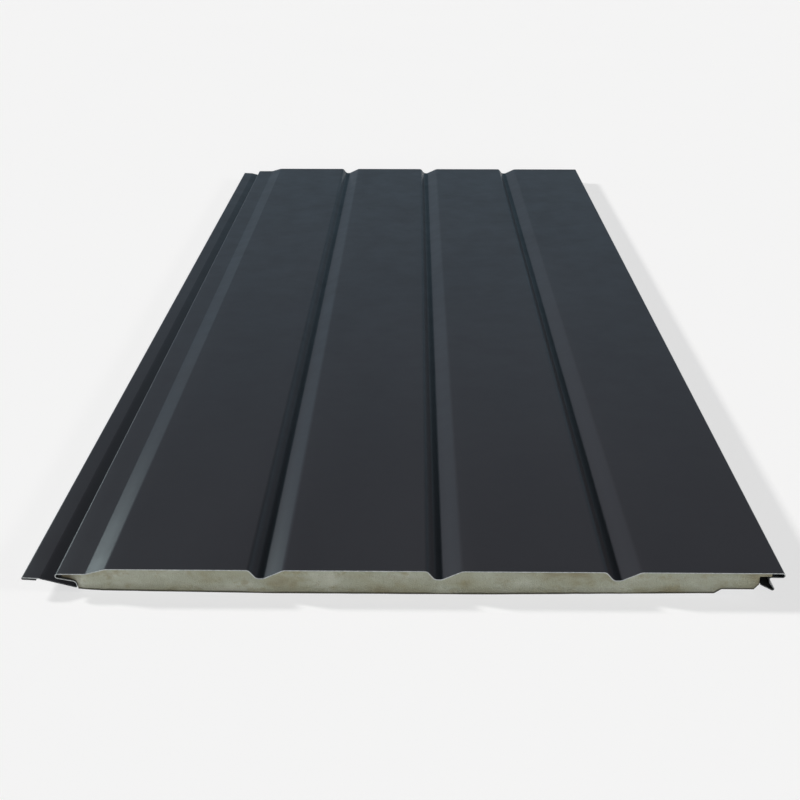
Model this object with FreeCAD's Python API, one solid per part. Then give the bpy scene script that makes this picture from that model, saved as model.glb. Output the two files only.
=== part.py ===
import FreeCAD, Part
import math
import os

# Insulated metal siding panel lying face up: a roll-formed steel face sheet, a rigid foam core and a
# thin facer on the back. The section is drawn in millimetres in the X-Z plane and runs along Y.
# x = 0 is the joint line on the flange side, where the next panel's overhanging edge ends.

# The panel
panel_length = 1000.0
cover_width = 400.0
plank_count = 4
panel_thickness = 15.0
sheet = 0.5
facer = 0.2
sharp_bend = 0.5  # inside radius of the tight roll-formed bends

# The grooves between the planks
groove_depth = 5.3
groove_set_back = 1.0  # from the plank line to the groove's upper edge
groove_wall_run = 4.4
groove_floor = 4.0
slope_run = 11.4
groove_bend = 1.6
slope_foot_bend = 2.0
slope_top_bend = 4.0

# The overhanging edge with the slot below it
nose_height = 3.0
nose_set_back = 1.6  # from the plank line to the overhanging edge
slot_depth = 8.4
riser_drop = 3.0  # the lip drops straight this far before it leans out
lip_drop = 9.6
lip_bend = 3.0
lip_lean = 5.1
lip_return_run = 9.7
lip_return_rise = 5.1

# The tongue and the nailing flange on the other edge
joint_clearance = 0.2  # between the overhanging edge and the ledge it covers
tongue_end_clearance = 0.3
tongue_tip = 2.9
tongue_slope = 11.0  # degrees, of the tongue's underside
wall_set_in = 2.3
root_bend = 2.5
flange_height = 3.1
nailing_width = 21.5
nailing_rake = 15.0  # degrees; the flange springs forward until its screws pull it flat
strip_width = 10.2  # the flange's edge, stiffened by its hem
strip_rake = 3.0  # degrees
strip_bend = 1.5
hem_gap = 0.6
hem_length = 8.0

# The foam core and its back
foam_tongue_gap = 3.0  # the foam stops short of the tongue's fold
foam_nose_gap = 7.3  # and of the overhanging edge's fold
foam_lip_gap = 0.2
facer_wall_gap = 0.3
corner_lift = 2.2  # height of the back at the wall of the flange
corner_run = 14.0
edge_taper = 1.1  # the back draws up by this much towards the flange
taper_run = 110.0
recess_taper = 1.8  # and by this much towards the recess
recess_taper_run = 130.0
recess_depth = 4.5  # room for the next panel's flange and its screw heads
recess_step_run = 4.0
recess_side_gap = 6.8
side_chamfer_run = 2.5
side_chamfer_rise = 2.9

# Sizes that follow from the ones above
half = sheet / 2
pitch = cover_width / plank_count
face_z = panel_thickness - half
nose_low_z = panel_thickness - nose_height + half
ledge_drop = nose_height + joint_clearance
ledge_z = face_z - ledge_drop
foot_x = groove_wall_run + groove_floor - groove_set_back
slope_top_x = foot_x + slope_run
nose_x = cover_width - nose_set_back
tip_x = half - (nose_set_back + slot_depth - tongue_end_clearance)
tip_low_z = ledge_z - (tongue_tip - sheet)
slope_rate = math.tan(math.radians(tongue_slope))
wall_top_z = tip_low_z - (wall_set_in - tip_x) * slope_rate
riser_x = nose_x - slot_depth - half


def at(x, z):
    return FreeCAD.Vector(x, -panel_length / 2, z)


def left_of(heading):
    return FreeCAD.Vector(-heading.z, 0, heading.x)


def beside(corners, side):
    """Moves that draw the line running a distance beside a folded line, to its left where positive.

    A corner is a point and the radius of the fold there. A move is the point an arc passes through,
    or None for a straight line, and the point it ends at.
    """
    points = [point for point, radius in corners]
    headings = [(b - a).normalize() for a, b in zip(points, points[1:])]
    moves = [(None, points[0] + left_of(headings[0]) * side)]
    for (corner, radius), before, after in zip(corners[1:-1], headings, headings[1:]):
        left_before = left_of(before)
        left_after = left_of(after)
        mitre = (left_before + left_after) / (1 + left_before.dot(left_after))
        if radius == 0:
            moves.append((None, corner + mitre * side))
            continue
        turn = 1 if left_before.dot(after) > 0 else -1
        reach = radius * math.tan(before.getAngle(after) / 2)
        centre = corner + mitre * (radius * turn)
        outward = (corner - centre).normalize()
        moves.append((None, corner - before * reach + left_before * side))
        moves.append((centre + outward * (radius - turn * side), corner + after * reach + left_after * side))
    moves.append((None, points[-1] + left_of(headings[-1]) * side))
    return moves


def straight(points):
    return [(None, point) for point in points]


def panel_solid(moves):
    """Solid with the drawn outline as its section and the whole panel length."""
    edges = []
    here = moves[-1][1]
    for passing, end in moves:
        if passing is not None:
            edges.append(Part.Arc(here, passing, end).toShape())
        elif (end - here).Length > 1e-6:
            edges.append(Part.makeLine(here, end))
        here = end
    return Part.Face(Part.Wire(edges)).extrude(FreeCAD.Vector(0, panel_length, 0))


def strip(corners, thickness):
    """Sheet of one thickness that follows a folded line along its middle."""
    return panel_solid(beside(corners, thickness / 2) + beside(corners[::-1], thickness / 2))


def outward(rake):
    """Direction away from the panel's flange side, raised by an angle in degrees."""
    return FreeCAD.Vector(-math.cos(math.radians(rake)), 0, math.sin(math.radians(rake)))


def flange_corners():
    """The flange from its hem, folded under the edge, down the nailing strip to the wall's foot."""
    root = at(wall_set_in, flange_height)
    crease = root + outward(nailing_rake) * nailing_width
    fold = crease + outward(strip_rake) * (strip_width - half)
    fold_low = fold + left_of(outward(strip_rake)) * (hem_gap + sheet)
    hem_round = (hem_gap + sheet) / 2
    return [
        (fold_low - outward(strip_rake) * hem_length, 0),
        (fold_low, hem_round),
        (fold, hem_round),
        (crease, strip_bend + half),
        (root, sharp_bend + half),
    ]


def tongue_underside():
    return [(at(wall_set_in, wall_top_z), root_bend + half)]


def tongue_fold():
    tip_round = (tongue_tip - sheet) / (1 + math.tan(math.radians(90 - tongue_slope) / 2))
    return [(at(tip_x, tip_low_z), tip_round), (at(tip_x, ledge_z), tip_round)]


def face_corners():
    """The painted face from the foot of its first slope to the last plank."""
    corners = [
        (at(foot_x, ledge_z), slope_foot_bend + half),
        (at(slope_top_x, face_z), slope_top_bend + half),
    ]
    floor_z = face_z - groove_depth
    for number in range(1, plank_count):
        line_x = number * pitch
        edge_x = line_x - groove_set_back
        corners.append((at(edge_x, face_z), groove_bend + half))
        corners.append((at(edge_x + groove_wall_run, floor_z), groove_bend + half))
        corners.append((at(line_x + foot_x, floor_z), slope_foot_bend + half))
        corners.append((at(line_x + slope_top_x, face_z), slope_top_bend + half))
    return corners


def nose_corners():
    """The overhanging edge, folded back under itself, and the lip that hooks under the next tongue."""
    fold_x = nose_x - half
    nose_round = (nose_height - sheet) / 2
    lip_tip = at(riser_x + lip_lean, nose_low_z - lip_drop)
    lip_end = lip_tip + FreeCAD.Vector(-lip_return_run, 0, lip_return_rise)
    return [
        (at(fold_x, face_z), nose_round),
        (at(fold_x, nose_low_z), nose_round),
        (at(riser_x, nose_low_z), sharp_bend + half),
        (at(riser_x, nose_low_z - riser_drop), lip_bend + half),
        (lip_tip, sharp_bend + half),
        (lip_end, 0),
    ]


def facer_corners():
    """The back from the flange's wall to the chamfer below the lip."""
    wall_x = wall_set_in + half + facer_wall_gap
    flange_edge_x = wall_set_in - nailing_width - strip_width
    low = facer / 2
    foam_side_x = riser_x + lip_lean - lip_return_run - sheet - foam_lip_gap
    recess_x = cover_width + flange_edge_x - recess_side_gap
    step_x = recess_x - recess_step_run
    recess_z = recess_depth + low
    return [
        (at(wall_x, corner_lift + low), 0),
        (at(wall_x + corner_run, edge_taper + low), 0),
        (at(wall_x + taper_run, low), 0),
        (at(step_x - recess_taper_run, low), 0),
        (at(step_x, recess_taper + low), 0),
        (at(recess_x, recess_z), 0),
        (at(foam_side_x - side_chamfer_run, recess_z), 0),
    ]


def make_face_sheet():
    corners = flange_corners() + tongue_underside() + tongue_fold() + face_corners() + nose_corners()
    return strip(corners, sheet)


def make_back_facer():
    return strip(facer_corners(), facer)


def make_foam_core():
    """The core fills the section between the sheet and the facer, short of the two narrow folds."""
    foam_left_x = tip_x + foam_tongue_gap
    under_z = tip_low_z - (foam_left_x - tip_x) * slope_rate
    foam_right_x = nose_x - foam_nose_gap
    wall_low = at(wall_set_in, corner_lift + facer)
    left = [(wall_low, 0)] + tongue_underside() + [(at(foam_left_x, under_z), 0)]
    top = [(at(foam_left_x, ledge_z), 0)] + face_corners() + [(at(foam_right_x, face_z), 0)]
    back = facer_corners()[::-1]
    chamfer_x = back[0][0].x
    chamfer_z = back[0][0].z - facer / 2
    return_top_z = nose_low_z + half
    side_x = chamfer_x + side_chamfer_run
    side = [
        at(foam_right_x, return_top_z),
        at(side_x, return_top_z),
        at(side_x, chamfer_z + side_chamfer_rise),
        at(chamfer_x, chamfer_z),
    ]
    return panel_solid(
        beside(left, -half) + beside(top, -half) + straight(side) + beside(back, -facer / 2)
    )


nodes = {
    "face_sheet": make_face_sheet(),
    "foam_core": make_foam_core(),
    "back_facer": make_back_facer(),
}

# The origin goes to the middle of the panel's overall width
box = nodes["face_sheet"].optimalBoundingBox(False, False)
to_origin = FreeCAD.Vector(-(box.XMin + box.XMax) / 2, 0, 0)

os.makedirs("parts", exist_ok=True)
for name, shape in nodes.items():
    shape.translate(to_origin)
    shape.exportStep("parts/" + name + ".step")
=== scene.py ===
# Insulated metal siding panel lying face up on a pale studio floor.
# The section is drawn in millimetres in the X-Z plane and swept along Y. Its names and sizes are those
# of the part's source, except that three bends at the grooves and the facer's creases are rounder here.
import math

import bpy
import numpy as np
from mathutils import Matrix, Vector, noise


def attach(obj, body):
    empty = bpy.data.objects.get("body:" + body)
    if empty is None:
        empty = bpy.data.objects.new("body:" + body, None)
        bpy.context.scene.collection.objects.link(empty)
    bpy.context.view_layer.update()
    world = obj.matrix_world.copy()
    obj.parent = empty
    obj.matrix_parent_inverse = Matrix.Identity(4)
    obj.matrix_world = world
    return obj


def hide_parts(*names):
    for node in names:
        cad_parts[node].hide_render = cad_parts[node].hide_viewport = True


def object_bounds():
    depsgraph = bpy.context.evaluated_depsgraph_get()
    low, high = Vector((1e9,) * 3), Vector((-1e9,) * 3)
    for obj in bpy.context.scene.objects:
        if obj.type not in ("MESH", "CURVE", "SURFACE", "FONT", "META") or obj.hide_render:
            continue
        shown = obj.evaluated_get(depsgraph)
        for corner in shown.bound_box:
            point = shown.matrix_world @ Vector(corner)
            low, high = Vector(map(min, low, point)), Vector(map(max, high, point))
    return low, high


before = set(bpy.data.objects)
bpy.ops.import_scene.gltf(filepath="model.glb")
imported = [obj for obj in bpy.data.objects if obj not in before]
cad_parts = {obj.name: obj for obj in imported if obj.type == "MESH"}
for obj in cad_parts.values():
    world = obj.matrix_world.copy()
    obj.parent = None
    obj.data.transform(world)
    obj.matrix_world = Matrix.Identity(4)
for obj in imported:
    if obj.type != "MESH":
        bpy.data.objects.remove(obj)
cad_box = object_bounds()
MM = 0.001

# The panel
panel_length = 1000.0
cover_width = 400.0
plank_count = 4
panel_thickness = 15.0
sheet = 0.5
facer = 0.2
sharp_bend = 0.5

# The grooves between the planks
groove_depth = 5.3
groove_set_back = 1.0
groove_wall_run = 4.4
groove_floor = 4.0
slope_run = 11.4
groove_bend = 3.0  # this bend and the next two are rounder than in the solids
slope_foot_bend = 3.5
slope_top_bend = 6.0

# The overhanging edge with the slot below it
nose_height = 3.0
nose_set_back = 1.6
slot_depth = 8.4
riser_drop = 3.0
lip_drop = 9.6
lip_bend = 3.0
lip_lean = 5.1
lip_return_run = 9.7
lip_return_rise = 5.1

# The tongue and the nailing flange on the other edge
joint_clearance = 0.2
tongue_end_clearance = 0.3
tongue_tip = 2.9
tongue_slope = math.radians(11.0)
wall_set_in = 2.3
root_bend = 2.5
flange_height = 3.1
nailing_width = 21.5
nailing_rake = math.radians(15.0)
strip_width = 10.2
strip_rake = math.radians(3.0)
strip_bend = 1.5
hem_gap = 0.6
hem_length = 8.0

# The foam core and its back
foam_tongue_gap = 3.0
foam_nose_gap = 7.3
foam_lip_gap = 0.2
facer_wall_gap = 0.3
corner_lift = 2.2
corner_run = 14.0
edge_taper = 1.1
taper_run = 110.0
recess_taper = 1.8
recess_taper_run = 130.0
recess_depth = 4.5
recess_step_run = 4.0
recess_side_gap = 6.8
side_chamfer_run = 2.5
side_chamfer_rise = 2.9
facer_crease = 2.0  # the solids' facer is folded sharp

# Fineness of the meshes
arc_step = math.radians(9.0)
least_arc_steps = 3
flat_step = 9.0
station_count = 110
foam_cell = 0.8
foam_least_cells = 6  # along each run of the foam's outline
foam_rows = 16
foam_stations = 14
sheet_end_margin = 0.3  # distance from a cut end to the next row of points
facer_end_margin = 0.5
foam_end_margin = 4.0
sharp_angle = math.radians(38.0)
same_level = 0.01  # heights closer than this count as the same
rounding = 1e-6

# Unevenness of the surfaces
sheet_dent = 0.12
sheet_dent_size = 60.0
sheet_dent_stretch = 0.55  # the dents are longer along the panel
sheet_dent_fade = 12.0  # the dents die out over this distance to a fold
sheet_end_fade = 40.0  # and over this distance to a cut end
sheared_roll = 0.05
foil_pucker = 0.14
foil_pucker_size = 14.0
foil_pucker_stretch = 0.7
foil_patch_size = 45.0
foil_fray = 0.4
foil_fray_size = 3.0
saw_depth = 0.35  # mean depth of the sawn foam behind the cut end
saw_wave = 0.18
torn_depth = 0.5
cell_depth = 0.45
cell_reach = 0.3
least_saw_depth = 0.05
most_saw_depth = 1.3
hollow_depth = 2.0  # the foam lies deeper in the tongue
hollow_start_x = 5.0
hollow_run = 9.0

# The studio, in metres
floor_reach = 40.0
floor_level = -0.0004
floor_own_share = 0.70  # share of the floor's tone that doesn't depend on the lights
floor_own_tone = 0.96
lamp_distance = 3.0
lamp_colour = (1.0, 0.985, 0.97)

# Sizes that follow from the ones above
half = sheet / 2
pitch = cover_width / plank_count
face_z = panel_thickness - half
nose_low_z = panel_thickness - nose_height + half
ledge_z = face_z - nose_height - joint_clearance
foot_x = groove_wall_run + groove_floor - groove_set_back
slope_top_x = foot_x + slope_run
nose_x = cover_width - nose_set_back
tip_x = half - (nose_set_back + slot_depth - tongue_end_clearance)
tip_low_z = ledge_z - (tongue_tip - sheet)
wall_top_z = tip_low_z - (wall_set_in - tip_x) * math.tan(tongue_slope)
riser_x = nose_x - slot_depth - half
end_y = panel_length / 2
to_origin = cad_box[1][0] / MM - nose_x


# The folded section

def left_of(heading):
    return Vector((-heading.y, heading.x))


def turned(direction, angle):
    cosine = math.cos(angle)
    sine = math.sin(angle)
    return Vector((cosine * direction.x - sine * direction.y, sine * direction.x + cosine * direction.y))


def run_samples(start, end, left, run):
    count = max(1, math.ceil((end - start).length / flat_step))
    return [(start.lerp(end, step / count), left, run) for step in range(count)]


def fold_samples(corners):
    """Points along a folded line, each with the direction to its left and the number of its run.

    A corner is its place in the section and the radius of the fold there. A run is numbered by the
    corner it starts from.
    """
    places = [Vector(place) for place, radius in corners]
    headings = [(b - a).normalized() for a, b in zip(places, places[1:])]
    samples = []
    here = places[0]
    for run, ((place, radius), before, after) in enumerate(zip(corners[1:-1], headings, headings[1:])):
        left = left_of(before)
        side = 1 if left.dot(after) > 0 else -1
        turn = before.angle(after)
        arc_start = Vector(place) - before * (radius * math.tan(turn / 2))
        samples += run_samples(here, arc_start, left, run)
        centre = arc_start + left * (radius * side)
        steps = max(least_arc_steps, math.ceil(turn / arc_step))
        for step in range(steps):
            spoke = turned(left, side * turn * step / steps)
            samples.append((centre - spoke * (radius * side), spoke, run))
        here = Vector(place) + after * (radius * math.tan(turn / 2))
    left = left_of(headings[-1])
    run = len(headings) - 1
    return samples + run_samples(here, places[-1], left, run) + [(places[-1], left, run)]


def beside(samples, side):
    return np.array([place + left * side for place, left, run in samples])


def outward(rake):
    """Direction away from the panel's flange side, raised by an angle."""
    return Vector((-math.cos(rake), math.sin(rake)))


def flange_corners():
    """The flange from its hem, folded under the edge, down the nailing strip to the wall's foot."""
    root = Vector((wall_set_in, flange_height))
    crease = root + outward(nailing_rake) * nailing_width
    fold = crease + outward(strip_rake) * (strip_width - half)
    fold_low = fold + left_of(outward(strip_rake)) * (hem_gap + sheet)
    hem_round = (hem_gap + sheet) / 2
    return [
        (fold_low - outward(strip_rake) * hem_length, 0),
        (fold_low, hem_round),
        (fold, hem_round),
        (crease, strip_bend + half),
        (root, sharp_bend + half),
    ]


def tongue_corners():
    tip_round = (tongue_tip - sheet) / (1 + math.tan((math.pi / 2 - tongue_slope) / 2))
    return [
        ((wall_set_in, wall_top_z), root_bend + half),
        ((tip_x, tip_low_z), tip_round),
        ((tip_x, ledge_z), tip_round),
    ]


def face_corners():
    """The painted face from the foot of its first slope to the last plank."""
    corners = [
        ((foot_x, ledge_z), slope_foot_bend + half),
        ((slope_top_x, face_z), slope_top_bend + half),
    ]
    floor_z = face_z - groove_depth
    for number in range(1, plank_count):
        line_x = number * pitch
        edge_x = line_x - groove_set_back
        corners.append(((edge_x, face_z), groove_bend + half))
        corners.append(((edge_x + groove_wall_run, floor_z), groove_bend + half))
        corners.append(((line_x + foot_x, floor_z), slope_foot_bend + half))
        corners.append(((line_x + slope_top_x, face_z), slope_top_bend + half))
    return corners


def nose_corners():
    """The overhanging edge, folded back under itself, and the lip that hooks under the next tongue."""
    fold_x = nose_x - half
    nose_round = (nose_height - sheet) / 2
    lip_tip = Vector((riser_x + lip_lean, nose_low_z - lip_drop))
    return [
        ((fold_x, face_z), nose_round),
        ((fold_x, nose_low_z), nose_round),
        ((riser_x, nose_low_z), sharp_bend + half),
        ((riser_x, nose_low_z - riser_drop), lip_bend + half),
        (lip_tip, sharp_bend + half),
        (lip_tip + Vector((-lip_return_run, lip_return_rise)), 0),
    ]


def facer_corners():
    """The back from the flange's wall to the chamfer below the lip."""
    wall_x = wall_set_in + half + facer_wall_gap
    low = facer / 2
    flange_edge_x = wall_set_in - nailing_width - strip_width
    recess_x = cover_width + flange_edge_x - recess_side_gap
    step_x = recess_x - recess_step_run
    return [
        ((wall_x, corner_lift + low), 0),
        ((wall_x + corner_run, edge_taper + low), facer_crease),
        ((wall_x + taper_run, low), facer_crease),
        ((step_x - recess_taper_run, low), facer_crease),
        ((step_x, recess_taper + low), facer_crease),
        ((recess_x, recess_depth + low), facer_crease),
        ((foam_side_x() - side_chamfer_run, recess_depth + low), 0),
    ]


def foam_side_x():
    return riser_x + lip_lean - lip_return_run - sheet - foam_lip_gap


# Meshes

def finish_piece(name, points, faces, face_materials, materials, node):
    """Smooth-shaded piece that stands for a CAD node, from points in millimetres."""
    mesh = bpy.data.meshes.new(name)
    mesh.from_pydata((np.asarray(points) * MM).tolist(), [], faces)
    for material in materials:
        mesh.materials.append(material)
    mesh.polygons.foreach_set("material_index", face_materials)
    mesh.shade_smooth()
    mesh.set_sharp_from_angle(angle=sharp_angle)
    mesh.update()
    piece = bpy.data.objects.new(name, mesh)
    bpy.context.scene.collection.objects.link(piece)
    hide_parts(node)
    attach(piece, "root")
    return piece


def stations(count, fine_edge):
    """Places along the length, with one more close to each cut end."""
    inner = np.linspace(-end_y + fine_edge, end_y - fine_edge, count)
    return np.concatenate(([-end_y], inner, [end_y]))


def sweep_strip(samples, thickness, along, settle, dull_runs=()):
    """Points and faces of a sheet that follows a folded line, and the material number of each face.

    Faces are numbered 0 on the left-hand side, 1 on the other side, 2 on the cut edges and 3 on the
    cut ends of the dull runs. settle moves a side's points off the straight sweep.
    """
    across = len(samples)
    lines = [beside(samples, thickness / 2), beside(samples, -thickness / 2)]
    sides = []
    for number, line in enumerate(lines):
        grid = np.zeros((len(along), across, 3))
        grid[:, :, 0] = line[:, 0] + to_origin
        grid[:, :, 1] = along[:, None]
        grid[:, :, 2] = line[:, 1]
        settle(grid, number)
        sides.append(grid.reshape(-1, 3))
    offset = len(along) * across
    faces = []
    numbers = []
    for row in range(len(along) - 1):
        for column in range(across - 1):
            a = row * across + column
            quad = (a, a + 1, a + across + 1, a + across)
            faces.append(quad)
            faces.append(tuple(corner + offset for corner in reversed(quad)))
            numbers += [0, 1]
        for column, flip in ((0, False), (across - 1, True)):
            a = row * across + column
            quad = (a, a + across, a + across + offset, a + offset)
            faces.append(quad[::-1] if flip else quad)
            numbers.append(2)
    for row, flip in ((0, True), (len(along) - 1, False)):
        for column in range(across - 1):
            a = row * across + column
            quad = (a, a + 1, a + 1 + offset, a + offset)
            faces.append(quad[::-1] if flip else quad)
            numbers.append(3 if samples[column][2] in dull_runs else 2)
    return np.concatenate(sides), faces, numbers


def ripple(x, y, size, seed):
    """Smooth unevenness between 0 and 1 with features of about a size."""
    return 0.5 + 0.5 * noise.noise(Vector((x / size, y / size, seed)))


def settle_sheet(grid, side):
    """Rolled sheet lies a few hundredths uneven between its folds, and its sheared edge is rolled over."""
    level_z = face_z + (half if side == 0 else -half)
    flat = np.abs(grid[0, :, 2] - level_z) < same_level
    section_x = grid[0, :, 0] - to_origin
    for column in np.nonzero(flat)[0]:
        from_line = (section_x[column] - slope_top_x) % pitch
        room = min(from_line, pitch - slope_top_x - from_line) / sheet_dent_fade
        fade = max(0.0, min(1.0, room))
        for row in range(grid.shape[0]):
            y = grid[row, column, 1]
            to_end = min(1.0, (end_y - abs(y)) / sheet_end_fade)
            dent = ripple(section_x[column], y * sheet_dent_stretch, sheet_dent_size, seed=3.0)
            grid[row, column, 2] -= sheet_dent * fade * to_end * dent
    if side == 0:
        grid[0, :, 1] += sheared_roll
        grid[-1, :, 1] -= sheared_roll


def settle_facer(grid, side):
    """The foil is puckered and its cut ends are a little ragged."""
    for row in range(grid.shape[0]):
        for column in range(grid.shape[1]):
            x, y = grid[row, column, :2]
            if side == 1:
                crease = ripple(x, y * foil_pucker_stretch, foil_pucker_size, seed=5.0)
                crease *= ripple(x, y, foil_patch_size, seed=9.0)
                grid[row, column, 2] += foil_pucker * crease
            if row in (0, grid.shape[0] - 1):
                fray = foil_fray * ripple(x, y, foil_fray_size, seed=1.0)
                grid[row, column, 1] -= math.copysign(fray, y)


def sampled_line(points, spacing, least):
    """Points at even distances along a line of points."""
    points = np.asarray(points)
    lengths = np.concatenate(([0.0], np.cumsum(np.linalg.norm(np.diff(points, axis=0), axis=1))))
    count = max(least, math.ceil(lengths[-1] / spacing)) + 1
    places = np.linspace(0.0, lengths[-1], count)
    return np.stack([np.interp(places, lengths, points[:, axis]) for axis in (0, 1)], axis=1)


def foam_section():
    """Paired points along the foam's lower and upper outline, from the tongue to the overhanging edge."""
    left_x = tip_x + foam_tongue_gap
    right_x = nose_x - foam_nose_gap
    wall_x = wall_set_in + half
    side_x = foam_side_x()
    skew = 6.0  # length along the top that is paired with each upright side
    under_z = tip_low_z - (left_x - tip_x) * math.tan(tongue_slope)
    tongue = fold_samples([
        ((left_x, under_z), 0),
        ((wall_set_in, wall_top_z), root_bend + half),
        ((wall_set_in, corner_lift + facer), 0),
    ])
    tongue_line = beside(tongue, half)
    on_wall = tongue_line[:, 0] > wall_x - rounding
    wall_line = tongue_line[on_wall]
    under_line = np.concatenate((tongue_line[~on_wall], wall_line[:1]))
    facer_line = beside(fold_samples(facer_corners()), facer / 2)
    chamfer_top = facer_line[-1] + np.array([side_chamfer_run, side_chamfer_rise])
    return_z = nose_low_z + half
    runs = [
        (under_line, left_x, wall_x),
        (wall_line, wall_x, wall_x + skew),
        (np.concatenate((wall_line[-1:], facer_line, [chamfer_top])), wall_x + skew, side_x - skew),
        ([chamfer_top, (side_x, return_z)], side_x - skew, side_x),
        ([(side_x, return_z), (right_x, return_z)], side_x, right_x),
    ]
    top_corners = [((left_x, ledge_z), 0)] + face_corners() + [((right_x, face_z), 0)]
    top = beside(fold_samples(top_corners), -half)
    lower = []
    upper = []
    for line, start_x, stop_x in runs:
        points = sampled_line(line, spacing=foam_cell, least=foam_least_cells)
        top_x = np.linspace(start_x, stop_x, len(points))
        keep = slice(None) if line is runs[-1][0] else slice(None, -1)
        lower.append(points[keep])
        upper.append(np.stack([top_x, np.interp(top_x, top[:, 0], top[:, 1])], axis=1)[keep])
    return np.concatenate(lower), np.concatenate(upper)


def tongue_hollow(x):
    """How far into the tongue a place lies, from 0 at the panel's body to 1 near the tongue's fold."""
    return min(1.0, max(0.0, (hollow_start_x - x) / hollow_run))


def sawn_depth(x, z, seed):
    """How far the sawn foam lies behind the cut end: waves, torn patches, cells and the hollow tongue."""
    coarse = Vector((x * 0.06, z * 0.16, seed))
    middling = Vector((x * 0.22, z * 0.4, seed + 7.0))
    fine = Vector((x * 0.8, z * 0.8, seed + 3.0))
    wave = noise.fractal(coarse, 1.0, 2.0, 4)
    tear = max(0.0, noise.noise(middling))
    cell = noise.voronoi(fine)[0][0]
    depth = saw_depth + saw_wave * wave + torn_depth * tear * tear
    depth += cell_depth * max(0.0, 1 - cell / cell_reach)
    return min(most_saw_depth, max(least_saw_depth, depth)) + hollow_depth * tongue_hollow(x)


class FoamBlock:
    """Points and faces of the foam core, and how high and how far into the tongue each point lies."""

    def __init__(self):
        self.lower, self.upper = foam_section()
        self.columns = len(self.lower)
        self.points = []
        self.faces = []
        self.rise = []
        self.hollow = []

    def rim(self):
        """Columns and rows once around the section."""
        last = self.columns - 1
        below = [(column, 0) for column in range(self.columns)]
        right = [(last, row) for row in range(1, foam_rows)]
        above = [(column, foam_rows) for column in reversed(range(self.columns))]
        left = [(0, row) for row in reversed(range(1, foam_rows))]
        return below + right + above + left

    def add_point(self, column, row, y, saw_seed=None):
        """A point at a place along the length, or set back from it by the saw where a seed is given."""
        share = row / foam_rows
        x, z = self.lower[column] * (1 - share) + self.upper[column] * share
        if saw_seed is not None:
            y += -math.copysign(1.0, y) * sawn_depth(x, z, saw_seed)
        self.points.append((x + to_origin, y, z))
        self.rise.append(share)
        self.hollow.append(tongue_hollow(x))

    def add_end(self, y, saw_seed):
        """A sawn end. Returns the numbers of the points along its rim."""
        first = len(self.points)
        tall = foam_rows + 1
        for column in range(self.columns):
            for row in range(tall):
                self.add_point(column, row, y, saw_seed)
        for column in range(self.columns - 1):
            for row in range(foam_rows):
                a = first + column * tall + row
                quad = (a, a + tall, a + tall + 1, a + 1)
                self.faces.append(quad if y < 0 else quad[::-1])
        return [first + column * tall + row for column, row in self.rim()]

    def add_ring(self, y):
        """The rim at a place along the length. Returns the numbers of its points."""
        first = len(self.points)
        for column, row in self.rim():
            self.add_point(column, row, y)
        return list(range(first, len(self.points)))

    def join(self, near, far):
        for step in range(len(near)):
            after = (step + 1) % len(near)
            self.faces.append((near[after], near[step], far[step], far[after]))


def make_foam_core():
    block = FoamBlock()
    rings = [block.add_end(-end_y, saw_seed=11.0)]
    for y in np.linspace(-end_y + foam_end_margin, end_y - foam_end_margin, foam_stations):
        rings.append(block.add_ring(y))
    rings.append(block.add_end(end_y, saw_seed=29.0))
    for near, far in zip(rings, rings[1:]):
        block.join(near, far)
    numbers = [0] * len(block.faces)
    materials = [foam_material()]
    piece = finish_piece(
        "foam_core_sawn", block.points, block.faces, numbers, materials, "foam_core"
    )
    for name, values in (("rise", block.rise), ("hollow", block.hollow)):
        piece.data.attributes.new(name, "FLOAT", "POINT").data.foreach_set("value", values)


def make_face_sheet():
    corners = flange_corners() + tongue_corners() + face_corners() + nose_corners()
    hem = [0, 1]
    nailing_strip = [3]
    nose_and_lip = list(range(len(corners) - len(nose_corners()), len(corners)))
    dull_runs = hem + nailing_strip + nose_and_lip
    along = stations(station_count, sheet_end_margin)
    points, faces, numbers = sweep_strip(fold_samples(corners), sheet, along, settle_sheet, dull_runs)
    materials = [paint_material(), primer_material(), cut_steel_material(), dull_edge_material()]
    finish_piece("face_sheet_formed", points, faces, numbers, materials, "face_sheet")


def make_back_facer():
    samples = fold_samples(facer_corners())
    along = stations(station_count * 2, facer_end_margin)
    points, faces, numbers = sweep_strip(samples, facer, along, settle_facer)
    materials = [foil_material(), foil_material(), foil_edge_material()]
    finish_piece("back_facer_foil", points, faces, numbers, materials, "back_facer")


# Materials

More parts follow.
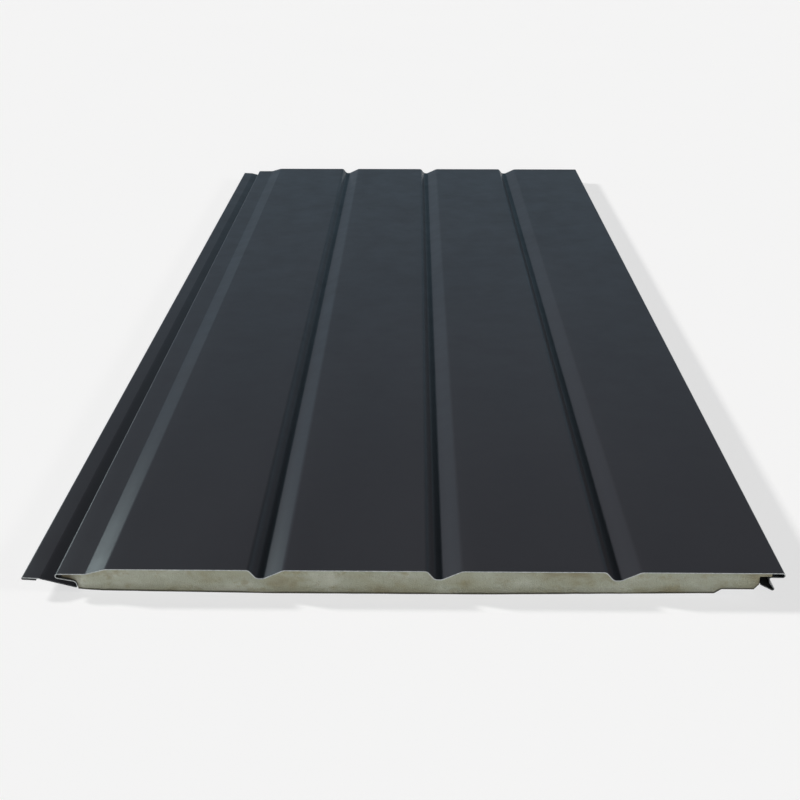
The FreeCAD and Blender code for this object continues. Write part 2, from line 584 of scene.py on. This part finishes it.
class Surface:
    """A principled material with helpers that add its texture nodes."""

    def __init__(self, name):
        self.material = bpy.data.materials.new(name)
        self.material.use_nodes = True
        self.nodes = self.material.node_tree.nodes
        self.links = self.material.node_tree.links
        self.shader = self.nodes["Principled BSDF"]
        self.place = self.nodes.new("ShaderNodeTexCoord").outputs["Object"]

    def scaled(self, stretch):
        mapping = self.nodes.new("ShaderNodeMapping")
        mapping.inputs["Scale"].default_value = stretch
        self.links.new(self.place, mapping.inputs["Vector"])
        return mapping.outputs["Vector"]

    def noise(self, size_mm, detail=3.0, rough=0.5, stretch=(1, 1, 1)):
        texture = self.nodes.new("ShaderNodeTexNoise")
        texture.inputs["Scale"].default_value = 1000.0 / size_mm
        texture.inputs["Detail"].default_value = detail
        texture.inputs["Roughness"].default_value = rough
        self.links.new(self.scaled(stretch), texture.inputs["Vector"])
        return texture.outputs["Fac"]

    def cells(self, size_mm, stretch=(1, 1, 1)):
        texture = self.nodes.new("ShaderNodeTexVoronoi")
        texture.inputs["Scale"].default_value = 1000.0 / size_mm
        self.links.new(self.scaled(stretch), texture.inputs["Vector"])
        return texture.outputs["Distance"]

    def attribute(self, name):
        node = self.nodes.new("ShaderNodeAttribute")
        node.attribute_name = name
        return node.outputs["Fac"]

    def ramp(self, factor, stops):
        node = self.nodes.new("ShaderNodeValToRGB")
        elements = node.color_ramp.elements
        for element, (position, colour) in ((elements[0], stops[0]), (elements[1], stops[-1])):
            element.position = position
            element.color = (*colour, 1)
        for position, colour in stops[1:-1]:
            elements.new(position).color = (*colour, 1)
        self.links.new(factor, node.inputs["Fac"])
        return node.outputs["Color"]

    def shades(self, factor, dark, light, start=0.3, stop=0.7):
        return self.ramp(factor, [(start, dark), (stop, light)])

    def levels(self, factor, low, high, start=0.3, stop=0.7):
        node = self.nodes.new("ShaderNodeMapRange")
        node.inputs["From Min"].default_value = start
        node.inputs["From Max"].default_value = stop
        node.inputs["To Min"].default_value = low
        node.inputs["To Max"].default_value = high
        self.links.new(factor, node.inputs["Value"])
        return node.outputs["Result"]

    def mix(self, factor, first, second, blend="MIX"):
        node = self.nodes.new("ShaderNodeMix")
        node.data_type = "RGBA"
        node.blend_type = blend
        self.links.new(factor, node.inputs["Factor"])
        for socket, value in ((node.inputs[6], first), (node.inputs[7], second)):
            if isinstance(value, tuple):
                socket.default_value = (*value, 1)
            else:
                self.links.new(value, socket)
        return node.outputs[2]

    def bump(self, heights):
        """Bumps from (height, depth in millimetres) pairs, one on top of the other."""
        normal = None
        for height, depth_mm in heights:
            node = self.nodes.new("ShaderNodeBump")
            node.inputs["Distance"].default_value = depth_mm * MM
            self.links.new(height, node.inputs["Height"])
            if normal:
                self.links.new(normal, node.inputs["Normal"])
            normal = node.outputs["Normal"]
        self.links.new(normal, self.shader.inputs["Normal"])

    def link(self, value, socket):
        self.links.new(value, self.shader.inputs[socket])


def paint_material():
    """Satin charcoal coil coating: faint clouding, a film of dust and fine orange peel."""
    paint = Surface("charcoal_coating")
    cloud = paint.noise(size_mm=90.0, detail=4.0, rough=0.55, stretch=(1, 0.35, 1))
    colour = paint.shades(cloud, dark=(0.0324, 0.0321, 0.0370), light=(0.0367, 0.0364, 0.0416))
    speckle = paint.noise(size_mm=5.0, detail=6.0, rough=0.7)
    dust = paint.levels(speckle, low=0.0, high=0.10, start=0.55, stop=0.75)
    dust_colour = (0.045, 0.047, 0.048)
    paint.link(paint.mix(dust, colour, dust_colour), "Base Color")
    sheen = paint.noise(size_mm=25.0, detail=5.0, rough=0.6)
    paint.link(paint.levels(sheen, low=0.31, high=0.38), "Roughness")
    paint.shader.inputs["Specular IOR Level"].default_value = 0.5
    orange_peel = paint.noise(size_mm=1.6, detail=2.0)
    grain = paint.noise(size_mm=0.45, detail=2.0)
    paint.bump([(orange_peel, 0.010), (grain, 0.004)])
    return paint.material


def primer_material():
    """Thin grey backing coat on the sheet's inner side."""
    primer = Surface("backing_coat")
    patch = primer.noise(size_mm=30.0, detail=5.0, rough=0.6)
    colour = primer.shades(patch, dark=(0.060, 0.064, 0.062), light=(0.095, 0.100, 0.096))
    primer.link(colour, "Base Color")
    primer.link(primer.levels(primer.noise(size_mm=6.0), low=0.48, high=0.62), "Roughness")
    primer.bump([(primer.noise(size_mm=1.2), 0.010)])
    return primer.material


def cut_steel_material():
    """Bare steel of the sheared edges, with the shear's fine streaks."""
    steel = Surface("cut_steel_edge")
    streak = steel.noise(size_mm=1.5, detail=3.0, rough=0.6, stretch=(1, 1, 0.2))
    steel.link(steel.shades(streak, dark=(0.38, 0.40, 0.40), light=(0.62, 0.64, 0.64)), "Base Color")
    steel.link(steel.levels(steel.noise(size_mm=2.5), low=0.38, high=0.55), "Roughness")
    steel.shader.inputs["Metallic"].default_value = 0.85
    steel.bump([(streak, 0.015)])
    return steel.material


def dull_edge_material():
    """Darker cut edges, on the flange, the overhanging edge and the lip."""
    edge = Surface("dull_cut_edge")
    streak = edge.noise(size_mm=1.2, detail=3.0, rough=0.6, stretch=(1, 1, 0.3))
    colour = edge.shades(streak, dark=(0.020, 0.022, 0.024), light=(0.210, 0.220, 0.226), stop=0.75)
    edge.link(colour, "Base Color")
    edge.link(edge.levels(streak, low=0.4, high=0.6), "Roughness")
    edge.bump([(streak, 0.012)])
    return edge.material


def foam_material():
    """Sawn rigid foam: pale olive, stained in patches, with painted shade in the tongue and along its back,
    darkest in a line at the very bottom.
    """
    foam = Surface("rigid_foam_sawn")
    stain_colour = (0.250, 0.225, 0.135)
    pore_colour = (0.20, 0.185, 0.12)
    # painted shade: the next two colours darken the foam along its back and in a line at its very bottom
    bottom_shade_colour = (0.165, 0.150, 0.100)
    contact_shade_colour = (0.045, 0.042, 0.030)
    # painted shade: darker, browner foam deep in the tongue
    tongue_shade_colour = (0.105, 0.085, 0.050)
    patch = foam.noise(size_mm=34.0, detail=3.0, rough=0.55, stretch=(1, 1, 1.8))
    colour = foam.ramp(patch, [
        (0.34, (0.250, 0.230, 0.155)),
        (0.46, (0.325, 0.328, 0.248)),
        (0.56, (0.350, 0.360, 0.288)),
        (0.70, (0.440, 0.448, 0.378)),
    ])
    spots = foam.noise(size_mm=9.0, detail=4.0, rough=0.65, stretch=(1, 1, 1.4))
    stain = foam.levels(spots, low=0.0, high=0.65, start=0.53, stop=0.70)
    colour = foam.mix(stain, colour, stain_colour)
    pores = foam.levels(foam.cells(size_mm=0.9), low=0.35, high=0.0, start=0.05, stop=0.35)
    colour = foam.mix(pores, colour, pore_colour)
    rise = foam.attribute("rise")
    # painted shade: the foam is darkened towards its bottom edge
    bottom_shade = foam.levels(rise, low=0.45, high=0.0, start=0.02, stop=0.36)
    colour = foam.mix(bottom_shade, colour, bottom_shade_colour)
    # painted shade: a dark line along the foam's very bottom
    contact_shade = foam.levels(rise, low=0.85, high=0.0, start=0.03, stop=0.085)
    colour = foam.mix(contact_shade, colour, contact_shade_colour)
    # painted shade: the foam is darkened and browned deep in the tongue
    tongue = foam.levels(foam.attribute("hollow"), low=0.0, high=0.9, start=0.0, stop=0.8)
    colour = foam.mix(tongue, colour, tongue_shade_colour)
    foam.link(colour, "Base Color")
    foam.link(foam.levels(patch, low=0.88, high=0.97), "Roughness")
    foam.shader.inputs["Specular IOR Level"].default_value = 0.2
    torn = foam.noise(size_mm=2.2, detail=4.0, rough=0.6)
    foam.bump([(torn, 0.25), (foam.cells(size_mm=0.7), 0.15)])
    return foam.material


def foil_material():
    """Dull foil laminate, finely embossed."""
    foil = Surface("foil_laminate")
    tone = foil.noise(size_mm=40.0, detail=4.0, rough=0.6, stretch=(1, 0.5, 1))
    foil.link(foil.shades(tone, dark=(0.50, 0.51, 0.52), light=(0.64, 0.65, 0.66)), "Base Color")
    foil.link(foil.levels(foil.noise(size_mm=8.0, detail=4.0), low=0.28, high=0.46), "Roughness")
    foil.shader.inputs["Metallic"].default_value = 0.9
    wrinkles = foil.noise(size_mm=9.0, detail=3.0, rough=0.5)
    foil.bump([(wrinkles, 0.10), (foil.cells(size_mm=2.4), 0.05)])
    return foil.material


def foil_edge_material():
    """The laminate's cut edge: foil and adhesive over brown paper."""
    edge = Surface("foil_laminate_edge")
    tone = edge.noise(size_mm=2.0, detail=3.0, rough=0.6)
    colour = edge.shades(tone, dark=(0.035, 0.032, 0.026), light=(0.075, 0.068, 0.052), start=0.35)
    edge.link(colour, "Base Color")
    edge.link(edge.levels(tone, low=0.6, high=0.8), "Roughness")
    edge.bump([(tone, 0.03)])
    return edge.material


# The studio

def show_pale_ground(material):
    """Part of the floor's tone is its own, where it is seen or mirrored, so that its shadows stay light."""
    nodes = material.node_tree.nodes
    links = material.node_tree.links
    path = nodes.new("ShaderNodeLightPath")
    seen = path.outputs["Is Camera Ray"]
    for kind in ("Is Glossy Ray", "Is Transmission Ray"):
        either = nodes.new("ShaderNodeMath")
        either.operation = "MAXIMUM"
        links.new(seen, either.inputs[0])
        links.new(path.outputs[kind], either.inputs[1])
        seen = either.outputs["Value"]
    share = nodes.new("ShaderNodeMath")
    share.operation = "MULTIPLY"
    share.inputs[1].default_value = floor_own_share
    links.new(seen, share.inputs[0])
    glow = nodes.new("ShaderNodeEmission")
    glow.inputs["Color"].default_value = (floor_own_tone, floor_own_tone, floor_own_tone, 1)
    blend = nodes.new("ShaderNodeMixShader")
    links.new(share.outputs["Value"], blend.inputs["Fac"])
    links.new(nodes["Principled BSDF"].outputs["BSDF"], blend.inputs[1])
    links.new(glow.outputs["Emission"], blend.inputs[2])
    links.new(blend.outputs["Shader"], nodes["Material Output"].inputs["Surface"])


def make_floor():
    mesh = bpy.data.meshes.new("floor")
    quarters = ((-1, -1), (1, -1), (1, 1), (-1, 1))
    corners = [(floor_reach * x, floor_reach * y, floor_level) for x, y in quarters]
    mesh.from_pydata(corners, [], [(0, 1, 2, 3)])
    floor = bpy.data.objects.new("floor", mesh)
    bpy.context.scene.collection.objects.link(floor)
    paper = Surface("floor_paper")
    tone = paper.noise(size_mm=300.0, detail=3.0)
    colour = paper.shades(tone, dark=(0.935, 0.935, 0.935), light=(0.945, 0.945, 0.945))
    paper.link(colour, "Base Color")
    paper.shader.inputs["Roughness"].default_value = 0.95
    paper.shader.inputs["Specular IOR Level"].default_value = 0.0
    show_pale_ground(paper.material)
    mesh.materials.append(paper.material)


def aim(thing, place, forward):
    thing.location = place
    thing.rotation_euler = Vector(forward).to_track_quat("-Z", "Y").to_euler()


def add_low_light(name, bearing, elevation, spread, power):
    """A soft light low beside the panel, which makes no glare. Its bearing is turned from +X to +Y."""
    lamp = bpy.data.lights.new(name, "SUN")
    lamp.energy = power
    lamp.angle = math.radians(spread)
    lamp.color = lamp_colour
    thing = bpy.data.objects.new(name, lamp)
    rise = math.radians(elevation)
    turn = math.radians(bearing)
    toward = Vector((math.cos(rise) * math.cos(turn), math.cos(rise) * math.sin(turn), math.sin(rise)))
    aim(thing, lamp_distance * toward, -toward)
    thing.visible_glossy = False
    bpy.context.scene.collection.objects.link(thing)


def add_sheen_card():
    """A small card behind the left edge, seen only as the sheen on the slopes that face it."""
    lamp = bpy.data.lights.new("sheen_card", "AREA")
    lamp.shape = "RECTANGLE"
    lamp.size = 0.34
    lamp.size_y = 0.30
    lamp.energy = 1.15
    lamp.color = (0.84, 1.0, 1.0)
    card = bpy.data.objects.new("sheen_card", lamp)
    place = Vector((-0.80, 0.34, 0.36))
    target = Vector((-0.17, -0.50, 0.01))
    aim(card, place, target - place)
    card.visible_camera = False
    card.visible_diffuse = False
    bpy.context.scene.collection.objects.link(card)


def set_world():
    """A dim room with a cool band of light at the horizon, which narrows towards the right."""
    world = bpy.data.worlds.new("studio")
    world.use_nodes = True
    nodes = world.node_tree.nodes
    links = world.node_tree.links
    direction = nodes.new("ShaderNodeTexCoord").outputs["Generated"]
    split = nodes.new("ShaderNodeSeparateXYZ")
    links.new(direction, split.inputs["Vector"])
    horizon = (0.150, 0.233, 0.294, 1)
    overhead = (0.06, 0.06, 0.06, 1)
    bands = [
        (0.30, horizon),
        (0.37, (0.085, 0.115, 0.140, 1)),
        (0.44, (0.03, 0.032, 0.036, 1)),
        (0.52, (0.02, 0.02, 0.022, 1)),
    ]
    tones = nodes.new("ShaderNodeValToRGB")
    tones.color_ramp.elements[0].color = horizon
    tones.color_ramp.elements[1].color = overhead
    for height, colour in bands:
        tones.color_ramp.elements.new(height).color = colour
    side = nodes.new("ShaderNodeMapRange")
    side.inputs["From Min"].default_value = 0.18
    side.inputs["From Max"].default_value = 1.0
    side.inputs["To Min"].default_value = 0.0
    side.inputs["To Max"].default_value = 0.38
    links.new(split.outputs["X"], side.inputs["Value"])
    height_in_band = nodes.new("ShaderNodeMath")
    links.new(split.outputs["Z"], height_in_band.inputs[0])
    links.new(side.outputs["Result"], height_in_band.inputs[1])
    links.new(height_in_band.outputs["Value"], tones.inputs["Fac"])
    links.new(tones.outputs["Color"], nodes["Background"].inputs["Color"])
    bpy.context.scene.world = world


def add_camera():
    data = bpy.data.cameras.new("camera")
    data.sensor_fit = "HORIZONTAL"
    data.sensor_width = 36.0
    data.lens = 56.62
    data.clip_start = 0.01
    camera = bpy.data.objects.new("camera", data)
    pitch_down = math.radians(23.138)
    yaw = math.radians(-0.679)
    level = math.cos(pitch_down)
    place = (0.0063, -1.1074, 0.3783)
    forward = (math.sin(yaw) * level, math.cos(yaw) * level, -math.sin(pitch_down))
    aim(camera, place, forward)
    bpy.context.scene.collection.objects.link(camera)
    bpy.context.scene.camera = camera


make_face_sheet()
make_foam_core()
make_back_facer()
make_floor()
add_low_light("key", bearing=151.6, elevation=24.5, spread=6.0, power=4.65)
add_low_light("fill", bearing=-6.0, elevation=19.0, spread=8.0, power=1.15)
add_low_light("front", bearing=-86.0, elevation=6.0, spread=12.0, power=1.24)
add_sheen_card()
set_world()
add_camera()
bpy.context.scene.view_settings.view_transform = "Standard"
